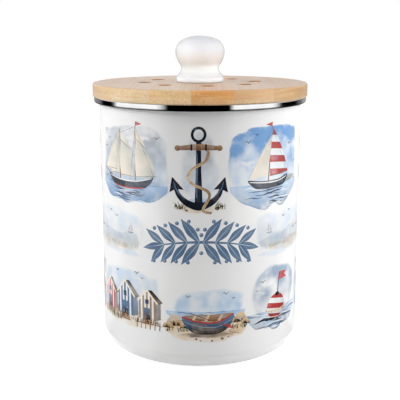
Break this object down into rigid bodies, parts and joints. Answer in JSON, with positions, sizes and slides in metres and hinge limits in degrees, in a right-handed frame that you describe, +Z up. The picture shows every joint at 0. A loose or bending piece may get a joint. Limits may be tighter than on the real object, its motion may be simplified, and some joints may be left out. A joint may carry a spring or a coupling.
{
  "type": "compost caddy",
  "caption": "Round enamelled countertop compost caddy with a rolled steel rim, a vented wooden lid with a turned knob and a push-fit carbon filter.",
  "frame": {"origin": "middle of the circle that the foot ring rests on", "axes": "+Z up along the bucket's axis; -Y towards the front of the caddy; the lid's staves run along Y"},
  "size_m": [0.1702, 0.1702, 0.248],
  "materials": {
    "enamel": "gloss white vitreous enamel with a fired print",
    "rim_steel": "mirror-polished stainless steel",
    "bamboo": "sanded, oiled carbonised bamboo",
    "knob_glaze": "gloss white glaze",
    "brass": "turned",
    "fixing_steel": "zinc-plated",
    "silicone": "matte translucent white",
    "cover_plastic": "moulded, fine matte",
    "carbon_felt": "carbon-loaded felt"
  },
  "bodies": {
    "bucket": {"bucket_shell": "enamel", "rim_band": "rim_steel"},
    "lid": {"lid_stave_1": "bamboo", "lid_stave_2": "bamboo", "lid_stave_3": "bamboo", "lid_stave_4": "bamboo", "lid_stave_5": "bamboo", "lid_stave_6": "bamboo", "knob": "knob_glaze", "knob_insert": "brass", "knob_screw": "fixing_steel", "knob_washer": "fixing_steel", "seal_ring": "silicone"},
    "filter_cassette": {"filter_cover": "cover_plastic", "filter_pad": "carbon_felt"}
  },
  "joints": [
    {"name": "lid_lift", "type": "slide", "parent": "bucket", "child": "lid", "axis": [0, 0, 1], "range_m": [0, 0.15]},
    {"name": "filter_pull", "type": "slide", "parent": "lid", "child": "filter_cassette", "axis": [0, 0, -1], "range_m": [0, 0.04]}
  ]
}
